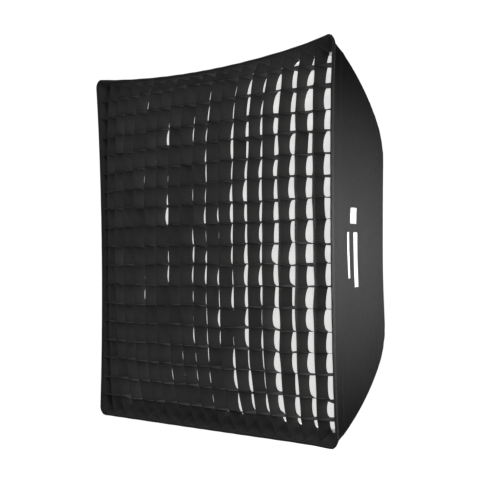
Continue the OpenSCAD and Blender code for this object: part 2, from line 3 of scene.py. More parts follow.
import bpy
import numpy as np
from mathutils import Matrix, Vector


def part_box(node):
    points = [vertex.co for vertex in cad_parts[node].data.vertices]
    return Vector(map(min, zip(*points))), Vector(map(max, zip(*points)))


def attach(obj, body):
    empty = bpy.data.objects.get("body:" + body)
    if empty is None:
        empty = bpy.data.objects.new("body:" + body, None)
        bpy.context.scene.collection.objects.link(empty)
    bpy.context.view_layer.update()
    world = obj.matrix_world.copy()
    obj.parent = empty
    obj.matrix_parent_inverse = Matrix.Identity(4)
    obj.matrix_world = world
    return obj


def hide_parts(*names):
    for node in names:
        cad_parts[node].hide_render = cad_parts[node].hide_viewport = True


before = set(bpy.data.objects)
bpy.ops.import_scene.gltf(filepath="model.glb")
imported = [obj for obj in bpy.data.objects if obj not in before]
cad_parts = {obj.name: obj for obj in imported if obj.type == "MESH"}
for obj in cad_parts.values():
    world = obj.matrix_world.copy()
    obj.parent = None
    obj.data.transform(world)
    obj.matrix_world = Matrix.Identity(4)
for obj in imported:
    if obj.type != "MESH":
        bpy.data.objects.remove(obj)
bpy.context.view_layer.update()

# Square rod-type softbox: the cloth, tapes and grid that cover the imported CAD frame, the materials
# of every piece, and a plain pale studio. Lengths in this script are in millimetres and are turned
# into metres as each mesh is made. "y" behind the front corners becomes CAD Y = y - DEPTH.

M = 0.001
rng = np.random.default_rng(18)

# Driving sizes, as in the CAD source
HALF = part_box("lip_right")[1].x / M
DEPTH = -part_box("lip_right")[0].y / M
LIP_DEPTH = 50
LIP_FLARE = 21
SEAM_PULL = 10
EDGE_PULL = 11.5
EDGE_BACK = 4.5
EDGE_DROOP = 12.5
PANEL_PULL = 3
FRONT_BEND = 1824
REAR_BEND = 763
TIP_ANGLE = math.radians(31.1)
MID_ANGLE = math.radians(41)
ROD_INSET = 8
COLLAR_R = 84
HOLE_R = 79
HOLE_Y = -29

# Grid
CELLS = 18
GRID_HALF = HALF - 5
PITCH = 2 * GRID_HALF / CELLS
GRID_DEPTH = 43
GRID_BULGE = 35
GRID_INSET = 3
# How much closer together the strips are at the back, as a share of their places
NARROWING = 0.003

# Cloth thicknesses and corner roundings
SHELL_T = 0.6
LIP_T = 0.8
ROD_ROUND = 8
EDGE_ROUND = 21

SIDES = {"top": 0, "right": 90, "bottom": 180, "left": 270}
CORNERS = {"bottom_right": 45, "bottom_left": 135, "top_left": 225, "top_right": 315}


def mix(a, b, t):
    return a + (b - a) * t


def turned(points, degrees):
    """Points turned about the Y axis, as the CAD turns a side or a corner."""
    c, s = math.cos(math.radians(degrees)), math.sin(math.radians(degrees))
    x, y, z = points[..., 0], points[..., 1], points[..., 2]
    return np.stack([x * c + z * s, y, z * c - x * s], -1)


def unit(vectors):
    return vectors / np.maximum(np.linalg.norm(vectors, axis=-1, keepdims=True), 1e-9)


# ---- Shape of the shell ----

def bend_point(centre, radius, angle):
    """A point on one of the rods' bends, as distance from the axis and depth."""
    return np.stack([centre[0] + radius * np.cos(angle), centre[1] + radius * np.sin(angle)], -1)


SEAM_R = HALF - LIP_FLARE
SEAM_START = np.array([SEAM_R * math.sqrt(2), LIP_DEPTH])
FRONT_CENTRE = bend_point(SEAM_START, -FRONT_BEND, TIP_ANGLE)
BEND_JOINT = bend_point(FRONT_CENTRE, FRONT_BEND, MID_ANGLE)
REAR_CENTRE = bend_point(BEND_JOINT, -REAR_BEND, MID_ANGLE)
COLLAR_ANGLE = math.acos((COLLAR_R * math.sqrt(2) - REAR_CENTRE[0]) / REAR_BEND)


def corner_line(t):
    """The shell's corner, as distance from the axis and depth, for t from 0 at the seam to 1."""
    front = bend_point(FRONT_CENTRE, FRONT_BEND, mix(TIP_ANGLE, MID_ANGLE, np.clip(2 * t, 0, 1)))
    rear = bend_point(REAR_CENTRE, REAR_BEND, mix(MID_ANGLE, COLLAR_ANGLE, np.clip(2 * t - 1, 0, 1)))
    return np.where((t < 0.5)[..., None], front, rear)


def section(half, pull, radius, span=1, flat_cols=49, round_cols=6):
    """One side of a square with rounded corners and a pulled-in middle, from diagonal to diagonal.
    Returns x along the side and z out of it. A span below 1 keeps only the middle of the side."""
    lean = 2 * pull / half
    x_end = half - radius + radius * math.sin(lean)
    z_end = half - radius + radius * math.cos(lean)
    x = np.linspace(-x_end, x_end, flat_cols) * min(span, 1)
    z = z_end - pull * (1 - (x / x_end) ** 2)
    if span < 1:
        return x, z
    turn = np.linspace(lean, math.pi / 4, round_cols + 1)[1:]
    x_round = half - radius + radius * np.sin(turn)
    z_round = half - radius + radius * np.cos(turn)
    return (np.concatenate([-x_round[::-1], x, x_round]),
            np.concatenate([z_round[::-1], z, z_round]))


def panel_pull(t):
    """How far the middle of a panel is pulled in below its corners."""
    return SEAM_PULL * (1 - t) ** 2 + PANEL_PULL * 4 * t * (1 - t)


def panel_face(rows):
    """A panel in its side's frame, as rows of points from the front seam back to the collar."""
    face = []
    for t in rows:
        rho, y = corner_line(np.array(t))
        x, z = section(rho / math.sqrt(2), panel_pull(t), ROD_ROUND)
        face.append(np.stack([x, np.full_like(x, y - DEPTH), z], -1))
    return np.array(face)


def lip_pull(side, s):
    """The same on the lip, where the top and bottom edges also hang down."""
    droop = EDGE_DROOP * math.cos(math.radians(SIDES[side])) if side in ("top", "bottom") else 0
    return mix(SEAM_PULL, EDGE_PULL, s) + droop * s


def lip_half(s, inset=0.0):
    return mix(SEAM_R, HALF, s) - inset * math.hypot(1, LIP_FLARE / LIP_DEPTH)


def lip_face(side, stations, inset=0.0, span=1):
    """Rows of points on the lip, in its side's frame: s is 0 at the seam and 1 at the front edge."""
    face = []
    for s in stations:
        half = lip_half(s, inset)
        radius = max(mix(ROD_ROUND, EDGE_ROUND, s) - inset, 2)
        x, z = section(half, lip_pull(side, s), radius, span, 97, 10)
        y = (1 - s) * LIP_DEPTH + EDGE_BACK * s * (1 - np.minimum(np.abs(x / half), 1) ** 2)
        face.append(np.stack([x, y - DEPTH, z], -1))
    return np.array(face)


def lip_reach(side, along, y, inset):
    """How far out a strip reaches before it meets the border, at a place along a side."""
    half = HALF - inset
    for _ in range(3):
        u2 = np.minimum(along / half, 1) ** 2
        s = (LIP_DEPTH - y) / (LIP_DEPTH - EDGE_BACK * (1 - u2))
        half = lip_half(s, inset)
    return half - lip_pull(side, s) * (1 - u2)


# How far its rod pushes each front corner out, by the signs of the corner's x and z
CORNER_PUSH = {(1, 1): 6.5, (1, -1): 4.5, (-1, 1): 1.5, (-1, -1): 0.0}
# How far the lower left corner gives way, and how far behind the front that reaches
LOWER_LEFT_SHIFT = np.array([4.0, 4.5, 0.0])
SHIFT_REACH = 170


def settled(points):
    """The frame's own irregular set: corners stand out, and the lower left one gives a little."""
    x, z = points[:, 0] / HALF, points[:, 2] / HALF
    back = np.maximum(points[:, 1] + DEPTH, 0)
    moved = points.copy()
    near = np.clip(1 - back / LIP_DEPTH, 0, 1) ** 1.5
    for (sx, sz), push in CORNER_PUSH.items():
        weight = near * (np.clip(x * sx, 0, 1) * np.clip(z * sz, 0, 1)) ** 9 * push
        moved[:, 0] += sx * weight
        moved[:, 2] += sz * weight
    give = (np.clip(1 - x, 0, 2) * np.clip(1 - z, 0, 2) / 4) ** 2 * np.exp(-(back / SHIFT_REACH) ** 2)
    return moved + give[:, None] * LOWER_LEFT_SHIFT


# ---- Meshes ----

class Cloth:
    """Gathers thin closed sheets, tubes and stitches, and makes one mesh of them."""

    def __init__(self):
        self.points, self.uvs, self.faces, self.slots = [], [], [], []
        self.count = 0

    def add(self, points, uv, faces, slots):
        self.points.append(points.reshape(-1, 3))
        self.uvs.append(uv.reshape(-1, 2))
        self.faces.append(np.asarray(faces) + self.count)
        self.slots.append(np.broadcast_to(slots, len(faces)))
        self.count += len(self.points[-1])

    def sheet(self, face, thickness, slots=(0, 0, 0), closed=False):
        """A sheet whose outer face is a grid of points. Its slots are for the outer face, the
        inner face and the cut edges. A closed sheet joins its last column to its first."""
        rows, cols = face.shape[:2]
        inner = face - sheet_normals(face, closed) * thickness
        along = np.linalg.norm(np.diff(face, axis=1), axis=2).cumsum(1)
        across = np.linalg.norm(np.diff(face, axis=0), axis=2).cumsum(0)
        u = np.concatenate([np.zeros((rows, 1)), along], 1)
        u = u - u.mean(1, keepdims=True)
        v = np.concatenate([np.zeros((1, cols)), across], 0)
        uv = np.stack([u, v], -1) * M
        index = np.arange(rows * cols).reshape(rows, cols)
        if closed:
            index = np.concatenate([index, index[:, :1]], 1)
        a, b, c, d = index[:-1, :-1], index[:-1, 1:], index[1:, 1:], index[1:, :-1]
        outer = np.stack([a, d, c, b], -1).reshape(-1, 4)
        under = np.stack([a, b, c, d], -1).reshape(-1, 4) + rows * cols
        rims = [index[0], index[-1][::-1]]
        if not closed:
            rims += [index[:, -1], index[:, 0][::-1]]
        edge = np.concatenate([
            np.stack([r[:-1], r[1:], r[1:] + rows * cols, r[:-1] + rows * cols], -1) for r in rims
        ])
        faces = np.concatenate([outer, under, edge])
        kinds = np.repeat(slots, [len(outer), len(under), len(edge)])
        self.add(np.concatenate([face.reshape(-1, 3), inner.reshape(-1, 3)]),
                 np.concatenate([uv.reshape(-1, 2)] * 2), faces, kinds)

    def stitches(self, line, up, length=3.6, gap=2.0, radius=0.38, slot=0):
        """Raised stitches along a line of points, with up pointing out of the cloth."""
        steps = np.linalg.norm(np.diff(line, axis=0), axis=1)
        run = np.concatenate([[0], steps.cumsum()])
        starts = np.arange(gap, run[-1] - length - gap, length + gap)
        if len(starts) == 0:
            return
        places = (starts[:, None] + length * np.array([0, 0.2, 0.5, 0.8, 1])).ravel()
        path = np.stack([np.interp(places, run, line[:, k]) for k in range(3)], -1)
        normal = unit(np.stack([np.interp(places, run, up[:, k]) for k in range(3)], -1))
        path = path.reshape(-1, 5, 3)
        normal = normal.reshape(-1, 5, 3)
        side = unit(np.cross(path[:, -1:] - path[:, :1], normal))
        turn = np.linspace(0, 2 * math.pi, 6, endpoint=False)
        swell = radius * np.array([0.35, 0.9, 1, 0.9, 0.35])[None, :, None, None]
        lift = radius * np.array([-0.9, 0.25, 0.5, 0.25, -0.9])[None, :, None, None]
        ring = (path[:, :, None] + normal[:, :, None] * (lift + 0.75 * swell * np.sin(turn)[:, None])
                + side[:, :, None] * swell * np.cos(turn)[:, None])
        count = len(ring)
        index = np.arange(30).reshape(5, 6)
        index = np.concatenate([index, index[:, :1]], 1)
        a, b, c, d = index[:-1, :-1], index[:-1, 1:], index[1:, 1:], index[1:, :-1]
        body = np.stack([a, b, c, d], -1).reshape(-1, 4)
        caps = np.array([[3, 2, 1, 0], [5, 4, 3, 0], [24, 25, 26, 27], [24, 27, 28, 29]])
        one = np.concatenate([body, caps])
        faces = (one[None] + 30 * np.arange(count)[:, None, None]).reshape(-1, 4)
        self.add(ring.reshape(-1, 3), np.zeros((count * 30, 2)), faces, slot)

    def build(self, name, body, slot, materials, replaces=(), crease=40):
        points = settled(np.concatenate(self.points)) * M
        faces = np.concatenate(self.faces)
        mesh = bpy.data.meshes.new(name)
        mesh.from_pydata(points.tolist(), [], faces.tolist())
        weave = mesh.uv_layers.new(name="weave")
        loops = np.empty(len(mesh.loops), int)
        mesh.loops.foreach_get("vertex_index", loops)
        weave.data.foreach_set("uv", np.concatenate(self.uvs)[loops].ravel())
        mesh.polygons.foreach_set("material_index", np.concatenate(self.slots).astype(np.int32))
        mesh.polygons.foreach_set("use_smooth", np.ones(len(faces), bool))
        for material in materials:
            mesh.materials.append(material)
        mesh.validate()
        mesh.set_sharp_from_angle(angle=math.radians(crease))
        mesh.update()
        piece = bpy.data.objects.new(name, mesh)
        bpy.context.scene.collection.objects.link(piece)
        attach(piece, body)
        if replaces:
            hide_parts(*replaces)
        return piece


def sheet_normals(face, closed=False):
    """Unit normals of a grid of points, on the outer side."""
    if closed:
        wide = np.concatenate([face[:, -1:], face, face[:, :1]], 1)
        du = wide[:, 2:] - wide[:, :-2]
    else:
        du = np.gradient(face, axis=1)
    dv = np.gradient(face, axis=0)
    return unit(np.cross(dv, du))


def ripple(along, across, wave, seed):
    """Soft irregular puckers that run across a seam."""
    phase = np.random.default_rng(seed).uniform(0, 2 * math.pi, 4)
    bend = 1.7 * np.sin(along / (2.3 * wave) + phase[0]) + 0.8 * np.sin(across / wave + phase[1])
    return (0.6 * np.sin(along * 2 * math.pi / wave + phase[2] + bend)
            + 0.4 * np.sin(along * 3.7 / wave + phase[3] - 0.6 * bend))


# ---- Materials ----

class Shader:
    """A Principled material with helpers for procedural detail."""

    def __init__(self, name, color, roughness, **sockets):
        self.material = bpy.data.materials.new(name)
        self.material.use_nodes = True
        self.tree = self.material.node_tree
        self.bsdf = self.tree.nodes["Principled BSDF"]
        self.bsdf.inputs["Base Color"].default_value = (*color, 1)
        self.bsdf.inputs["Roughness"].default_value = roughness
        for socket, value in sockets.items():
            self.bsdf.inputs[socket.replace("_", " ")].default_value = value
        self.color, self.roughness = color, roughness

    def node(self, kind, **values):
        node = self.tree.nodes.new(kind)
        for key, value in values.items():
            setattr(node, key, value)
        return node

    def link(self, value, socket):
        if isinstance(value, (int, float)):
            socket.default_value = value
        else:
            self.tree.links.new(value, socket)

    def cloth_place(self):
        return self.node("ShaderNodeUVMap", uv_map="weave").outputs["UV"]

    def solid_place(self):
        return self.node("ShaderNodeTexCoord").outputs["Object"]

    def stretched(self, place, scale):
        node = self.node("ShaderNodeMapping")
        self.link(place, node.inputs["Vector"])
        node.inputs["Scale"].default_value = scale
        return node.outputs["Vector"]

    def noise(self, place, per_metre, detail=3.0):
        node = self.node("ShaderNodeTexNoise")
        self.link(place, node.inputs["Vector"])
        node.inputs["Scale"].default_value = per_metre
        node.inputs["Detail"].default_value = detail
        return node.outputs["Fac"]

    def math(self, operation, a, b=0.0):
        node = self.node("ShaderNodeMath", operation=operation)
        self.link(a, node.inputs[0])
        self.link(b, node.inputs[1])
        return node.outputs["Value"]

    def inside(self, value, centre, half):
        """1 where a value lies within a distance of a centre, and 0 outside it."""
        away = self.math("ABSOLUTE", self.math("SUBTRACT", value, centre))
        return self.math("LESS_THAN", away, half)

    def remap(self, value, low, high, start=0.3, end=0.7):
        node = self.node("ShaderNodeMapRange")
        self.link(value, node.inputs["Value"])
        node.inputs["From Min"].default_value = start
        node.inputs["From Max"].default_value = end
        node.inputs["To Min"].default_value = low
        node.inputs["To Max"].default_value = high
        return node.outputs["Result"]

    def tint(self, amount, color):
        """Mixes another colour into the base colour by an amount from 0 to 1."""
        node = self.node("ShaderNodeMix", data_type="RGBA")
        self.link(amount, node.inputs[0])
        base = self.bsdf.inputs["Base Color"]
        if base.is_linked:
            self.tree.links.new(base.links[0].from_socket, node.inputs[6])
        else:
            node.inputs[6].default_value = base.default_value
        node.inputs[7].default_value = (*color, 1)
        self.tree.links.new(node.outputs[2], base)

    def rough(self, value):
        self.link(value, self.bsdf.inputs["Roughness"])

    def bump(self, height, strength, distance_mm):
        node = self.node("ShaderNodeBump")
        node.inputs["Strength"].default_value = strength
        node.inputs["Distance"].default_value = distance_mm * M
        self.link(height, node.inputs["Height"])
        normal = self.bsdf.inputs["Normal"]
        if normal.is_linked:
            self.tree.links.new(normal.links[0].from_socket, node.inputs["Normal"])
        self.tree.links.new(node.outputs["Normal"], normal)

    def threads(self, place, across_mm, along_mm):
        """Height of a plain weave with that spacing."""
        split = self.node("ShaderNodeSeparateXYZ")
        self.link(place, split.inputs["Vector"])
        warp = self.math("SINE", self.math("MULTIPLY", split.outputs["X"], 2 * math.pi / (across_mm * M)))
        weft = self.math("SINE", self.math("MULTIPLY", split.outputs["Y"], 2 * math.pi / (along_mm * M)))
        return self.math("MULTIPLY", warp, weft)


def coated_nylon(name, color, marked=False):
    """Black satin outer cloth: fine weave, slow drift of tone, a few scuffs, and perhaps a mark."""
    s = Shader(name, color, 0.5, Specular_IOR_Level=0.22)
    place = s.cloth_place()
    s.tint(s.remap(s.noise(place, 9), 0, 0.5), tuple(1.25 * c for c in color))
    s.rough(s.remap(s.noise(place, 60, 5), 0.46, 0.54))
    s.bump(s.noise(place, 110, 3), 0.06, 0.4)
    s.bump(s.threads(place, 0.9, 0.9), 0.15, 0.08)
    if marked:
        s.tint(plain_mark(s, place), (0.62, 0.62, 0.61))
    return s.material


def plain_mark(s, place):
    """A plain printed mark on the front half of the panel: a small square and two bars. The sizes
    are metres along the panel from its middle, and from the collar forward."""
    split = s.node("ShaderNodeSeparateXYZ")
    s.link(place, split.inputs["Vector"])

    def block(along, across, half_length, half_width):
        return s.math("MULTIPLY", s.inside(split.outputs["X"], along, half_length),
                      s.inside(split.outputs["Y"], across, half_width))

    square = block(-0.060, 0.500, 0.018, 0.020)
    long_bar = block(0.040, 0.485, 0.062, 0.013)
    short_bar = block(0.030, 0.532, 0.052, 0.006)
    return s.math("MAXIMUM", square, s.math("MAXIMUM", long_bar, short_bar))


def silver_lining():
    """The coated inner side of the shell: bright, finely crinkled."""
    s = Shader("silver_lining", (0.62, 0.62, 0.63), 0.3, Metallic=0.85)
    place = s.cloth_place()
    s.rough(s.remap(s.noise(place, 300, 4), 0.24, 0.42))
    s.tint(s.remap(s.noise(place, 14), 0, 0.35), (0.42, 0.42, 0.44))
    s.bump(s.noise(place, 240, 4), 0.25, 0.5)
    s.bump(s.threads(place, 1.1, 1.1), 0.2, 0.1)
    return s.material


def webbing(name, color):
    """Ribbed binding tape and webbing."""
    s = Shader(name, color, 0.62, Sheen_Weight=0.25, Sheen_Roughness=0.45, Specular_IOR_Level=0.35)
    place = s.cloth_place()
    s.tint(s.remap(s.noise(place, 40), 0, 0.6), tuple(2.2 * c for c in color))
    s.bump(s.threads(place, 1.3, 2.6), 0.5, 0.3)
    return s.material


def strip_cloth():
    """Charcoal woven polyester of the grid, a little uneven and warm."""
    s = Shader("strip_cloth", (0.030, 0.028, 0.029), 0.72, Sheen_Weight=0.12, Sheen_Roughness=0.5,
               Specular_IOR_Level=0.3)
    place = s.cloth_place()
    s.tint(s.remap(s.noise(place, 23, 4), 0, 0.7), (0.042, 0.039, 0.037))
    s.tint(s.remap(s.noise(s.solid_place(), 6, 2), 0, 0.5, 0.42, 0.62), (0.028, 0.030, 0.029))
    s.bump(s.noise(place, 220, 4), 0.3, 0.5)
    s.bump(s.threads(place, 0.8, 0.8), 0.3, 0.12)
    return s.material


def pile_tape(name, color, per_metre):
    """Hook or loop tape: a dense pile."""
    s = Shader(name, color, 0.85, Sheen_Weight=0.5, Sheen_Roughness=0.6, Specular_IOR_Level=0.2)
    place = s.cloth_place()
    pile = s.noise(place, per_metre, 2)
    s.tint(s.remap(pile, 0, 0.8), tuple(3 * c for c in color))
    s.bump(pile, 0.8, 0.8)
    return s.material


def white_cloth(name, color, painted_glow):
    """White cloth with fine weave and faint creases. Its colour is darkened along the creases as painted
    shade, and painted_glow makes it shine by itself as a painted glow, in place of light coming through
    the cloth.
    """
    s = Shader(name, color, 0.7, Sheen_Weight=0.1, Specular_IOR_Level=0.25, Emission_Strength=painted_glow)
    s.bsdf.inputs["Emission Color"].default_value = (1, 1, 0.99, 1)
    place = s.cloth_place()
    # The creases raise the bump and also darken the colour along them; that darkening is painted shade.
    creases_and_shade = s.noise(s.stretched(place, (30, 2.5, 1)), 1, 3)
    s.tint(s.remap(creases_and_shade, 0, 0.5), tuple(0.9 * c for c in color))
    s.bump(creases_and_shade, 0.35, 2.5)
    s.bump(s.threads(place, 0.5, 0.5), 0.15, 0.06)
    return s.material


def thread(name, color):
    """Twisted sewing thread."""
    s = Shader(name, color, 0.6, Sheen_Weight=0.2, Specular_IOR_Level=0.4)
    place = s.solid_place()
    s.tint(s.remap(s.noise(place, 900, 2), 0, 0.6), tuple(1.6 * c for c in color))
    s.bump(s.noise(place, 3000, 2), 0.4, 0.1)
    return s.material


def metal(name, color, roughness, grain, wear=None):
    """Turned, drawn or plated metal. grain stretches fine scratches along one axis."""
    s = Shader(name, color, roughness, Metallic=1.0)
    place = s.solid_place()
    scratches = s.noise(s.stretched(place, grain), 1, 4)
    s.rough(s.remap(scratches, roughness - 0.07, roughness + 0.12))
    s.tint(s.remap(s.noise(place, 45, 4), 0, 0.45), tuple(0.72 * c for c in color))
    if wear:
        s.tint(s.remap(s.noise(place, 130, 6), 0, 0.8, 0.62, 0.75), wear)
    s.bump(scratches, 0.12, 0.15)
    return s.material


def painted(name, color, roughness, grain_per_metre):
    """Paint, rubber or moulded plastic with a fine grain."""
    s = Shader(name, color, roughness, Specular_IOR_Level=0.5)
    place = s.solid_place()
    speckle = s.noise(place, grain_per_metre, 2)
    s.tint(s.remap(s.noise(place, 30, 5), 0, 0.5), tuple(2.4 * c for c in color))
    s.rough(s.remap(s.noise(place, 70, 4), roughness - 0.08, roughness + 0.1))
    s.bump(speckle, 0.35, 0.2)
    return s.material


SATIN_BLACK = (0.030, 0.030, 0.0305)
SATIN = coated_nylon("satin_nylon", SATIN_BLACK)
MARKED_SATIN = coated_nylon("marked_satin_nylon", SATIN_BLACK, marked=True)
SILVER = silver_lining()
BINDING = webbing("binding_tape", (0.013, 0.013, 0.0135))
WEBBING = webbing("webbing", (0.010, 0.010, 0.011))
STRIP = strip_cloth()
STRIP_EDGE = webbing("strip_edge", (0.008, 0.008, 0.008))
HOOK = pile_tape("hook_tape", (0.006, 0.006, 0.006), 1600)
LOOP = pile_tape("loop_tape", (0.008, 0.008, 0.008), 900)
# The diffuser shines by a painted glow of its own: its emission stands in for light coming through the
# cloth from inside.
DIFFUSER = white_cloth("diffuser_cloth", (0.86, 0.86, 0.85), 0.7)
BAFFLE = white_cloth("baffle_cloth", (0.83, 0.83, 0.82), 0.0)
THREAD = thread("black_thread", (0.016, 0.016, 0.017))
WHITE_THREAD = thread("white_thread", (0.7, 0.7, 0.69))
PLATED = metal("plated_metal", (0.62, 0.62, 0.64), 0.25, (30, 900, 30), (0.4, 0.4, 0.41))
STEEL = metal("spring_steel", (0.50, 0.50, 0.52), 0.3, (500, 60, 500))
ZINC = metal("zinc_steel", (0.45, 0.45, 0.47), 0.32, (800, 800, 800))
SLEEVE = metal("bare_aluminium", (0.56, 0.56, 0.58), 0.34, (700, 200, 700))
RING_PAINT = painted("ring_paint", (0.020, 0.020, 0.022), 0.42, 2200)
SNAP = painted("snap_black", (0.028, 0.028, 0.028), 0.3, 900)
RUBBER = painted("tip_rubber", (0.014, 0.014, 0.014), 0.78, 1800)
KNOB = painted("knob_plastic", (0.018, 0.018, 0.020), 0.5, 2600)


# ---- Shell cloth ----

def waves(along, across, edge, wave, seed, height, reach):
    """Puckers beside a seam: they fade with the distance from it, and are still on it."""
    fade = np.exp(-edge / reach) * (1 - np.exp(-edge / 4))
    return height * fade * ripple(along, across, wave, seed)


def from_corners(face):
    """Distance of each point of a side from the nearer of its two corner seams."""
    first = np.linalg.norm(face - face[:, :1], axis=2)
    last = np.linalg.norm(face - face[:, -1:], axis=2)
    return np.minimum(first, last)


def shell_panel(side, seed):
    """One side of the shell, black outside and silver inside, puckered along its seams."""
    face = panel_face(np.linspace(1, 0, 61))
    normals = sheet_normals(face)
    from_seam = np.linalg.norm(face - face[-1:], axis=2)
    from_back = np.linalg.norm(face - face[:1], axis=2)
    from_corner = from_corners(face)
    push = waves(face[..., 0], from_seam, from_seam, 34, seed, 1.3, 26)
    push += waves(from_seam, face[..., 0], from_corner, 46, seed + 1, 1.1, 30)
    push += waves(face[..., 0], from_seam, from_back, 17, seed + 2, 1.0, 22)
    middle = (1 - np.exp(-from_corner / 60)) * (1 - np.exp(-from_seam / 60))
    push += 1.1 * middle * ripple(from_seam * 0.7 + face[..., 0] * 0.3, face[..., 0], 210, seed + 3)
    push -= 0.9 * np.exp(-(from_corner / 1.6) ** 2)
    face = turned(face - normals * push[..., None], SIDES[side])
    normals = sheet_normals(face)
    cloth = Cloth()
    cloth.sheet(face, SHELL_T, (0, 1, 0))
    cloth.stitches(mix(face[-1], face[-2], 0.35), normals[-1], slot=2)
    cloth.stitches(mix(face[-1], face[-2], 0.85), normals[-1], slot=2)
    for column in (3, -4):
        cloth.stitches(face[:, column], normals[:, column], slot=2)
    outer = MARKED_SATIN if side == "right" else SATIN
    piece = cloth.build(f"shell_panel_{side}", "softbox_shell", "shell_cloth",
                        [outer, SILVER, THREAD], [f"panel_{side}"])


def lip_cloth(side, seed):
    """One side of the lip, sewn to the panel behind it with two rows of stitches."""
    face = lip_face(side, np.linspace(0, 1, 15))
    normals = sheet_normals(face)
    from_seam = np.linalg.norm(face - face[:1], axis=2)
    from_edge = np.linalg.norm(face - face[-1:], axis=2)
    from_corner = from_corners(face)
    push = waves(face[..., 0], from_seam, from_seam, 34, seed, 0.9, 18)
    push += waves(face[..., 0], from_edge, from_edge, 27, seed + 1, 0.8, 14)
    push -= 0.7 * np.exp(-(from_corner / 1.8) ** 2)
    face = turned(face - normals * push[..., None], SIDES[side])
    normals = sheet_normals(face)
    cloth = Cloth()
    cloth.sheet(face, LIP_T)
    cloth.stitches(mix(face[0], face[1], 0.7), normals[0], slot=1)
    cloth.stitches(mix(face[0], face[1], 1.6), normals[0], slot=1)
    return cloth.build(f"lip_cloth_{side}", "softbox_shell", "shell_cloth", [SATIN, THREAD],
                       [f"lip_{side}"])


def front_loop():
    """The lip's edge all the way round, with its outward normals and its forward direction."""
    points, ahead = [], []
    for side, angle in SIDES.items():
        rows = lip_face(side, [0.95, 1.0])
        points.append(turned(rows[1], angle)[:-1])
        ahead.append(turned(rows[1] - rows[0], angle)[:-1])
    points, ahead = np.concatenate(points), unit(np.concatenate(ahead))
    run = np.roll(points, -1, 0) - np.roll(points, 1, 0)
    outward = unit(np.cross(run, ahead))
    if (outward * points * [1, 0, 1]).sum() < 0:
        outward = -outward
    return points, outward, ahead


def edge_binding():
    """One tape folded over the front edge all the way round, sewn through both legs."""
    points, outward, ahead = front_loop()
    leg, rise, nose = 9.0, 1.5, 2.0
    mid, half = -LIP_T / 2, LIP_T / 2 + rise
    profile = [(mid + half * 0.8, -leg), (mid + half, -leg + 1.5), (mid + half, -2.0)]
    profile += [(mid + half * math.cos(a), nose * math.sin(a))
                for a in np.linspace(0, math.pi, 9)]
    profile += [(mid - half, -2.0), (mid - half, -leg + 1.5), (mid - half * 0.8, -leg)]
    run = np.arange(len(points))
    wobble = 0.25 * np.sin(run * 0.9 + 2 * np.sin(run * 0.11))
    face = np.array([points + outward * (n + wobble)[:, None] + ahead * f for n, f in profile])
    cloth = Cloth()
    cloth.sheet(face[:, ::-1], 0.7, closed=True)
    normals = sheet_normals(face[:, ::-1], True)
    for row in (1, -2):
        line = mix(face[row], face[row + (1 if row > 0 else -1)], 0.35)[::-1]
        cloth.stitches(line, normals[row], length=4.2, gap=2.2, slot=1)
    return cloth.build("front_edge_binding", "softbox_shell", "tape_cloth", [BINDING, THREAD],
                       ["edge_binding"])


for k, side in enumerate(SIDES):
    shell_panel(side, 10 * k)
lips = {side: lip_cloth(side, 50 + 10 * k) for k, side in enumerate(SIDES)}
binding = edge_binding()


# ---- Egg-crate grid ----

def grid_front(x, z):
    """How far behind the front corners the grid's front is: it bulges forward in its middle."""
    a, c = np.minimum(np.abs(x) / GRID_HALF, 1), np.minimum(np.abs(z) / GRID_HALF, 1)
    return (GRID_INSET + EDGE_BACK * (2 - a ** 2 - c ** 2)
            - (GRID_BULGE + 2 * EDGE_BACK) * (1 - a ** 4) * (1 - c ** 4))


class Lattice:
    """The lines where the grid's strips cross, from their front ends to their back ends."""

    def __init__(self):
        places = (np.arange(CELLS - 1) - (CELLS / 2 - 1)) * PITCH
        self.places = places
        count = len(places)
        shape = (count, count)
        self.x = places[:, None] + rng.normal(0, 1.1, shape) + rng.normal(0, 1.0, (count, 1))
        self.z = places[None, :] + rng.normal(0, 1.3, shape) + rng.normal(0, 0.8, (1, count))
        self.y = grid_front(self.x, self.z) + rng.normal(0, 0.8, shape)
        self.lean_x = rng.normal(0, 1.2, shape) + rng.normal(0, 1.5, (count, 1))
        self.lean_x -= NARROWING * places[:, None]
        self.lean_z = rng.normal(-0.8, 2.2, shape)

    def front(self):
        return np.stack([self.x, self.y, self.z], -1)

    def back(self):
        return self.front() + np.stack([self.lean_x, np.full_like(self.x, GRID_DEPTH), self.lean_z], -1)


STRIP_T = 0.7
SUB = 10
STRIP_END_IN = 4.4


def strip_end(side, along, near_front, near_back, axis, sign):
    """Where a strip ends against the border, which it follows from its front to its back."""
    ends = []
    for node, depth in ((near_front, 0), (near_back, GRID_DEPTH)):
        end = node.copy()
        y = grid_front(GRID_HALF if axis == 0 else along, GRID_HALF if axis == 2 else along) + depth
        end[axis] = sign * lip_reach(side, along, y, STRIP_END_IN)
        end[1] = y
        ends.append(end)
    return ends


def grid_strip(cloth, fronts, backs, bend_axis, front_bow, back_bow, back_lift):
    """One strip through its crossings. It bows between them, and is pinched at each slot."""
    depth = np.linspace(0, 1, 7)
    columns = []
    spans = len(fronts) - 1
    for k in range(spans):
        ts = np.linspace(0, 1, SUB, endpoint=False)
        if k == spans - 1:
            ts = np.append(ts, 1)
        for t in ts:
            front = mix(fronts[k], fronts[k + 1], t)
            back = mix(backs[k], backs[k + 1], t)
            column = front[None] + (back - front)[None] * depth[:, None]
            bow = max(math.sin(math.pi * t ** 0.75), 0) ** 0.6
            fold = mix(front_bow[k], back_bow[k], depth ** 1.3)
            column[:, bend_axis] += bow * fold
            column[:, 1] -= bow * back_lift[k] * depth ** 2
            columns.append(column)
    face = np.array(columns).transpose(1, 0, 2)
    face[..., 1] -= DEPTH
    cloth.sheet(face, STRIP_T, (0, 0, 1))


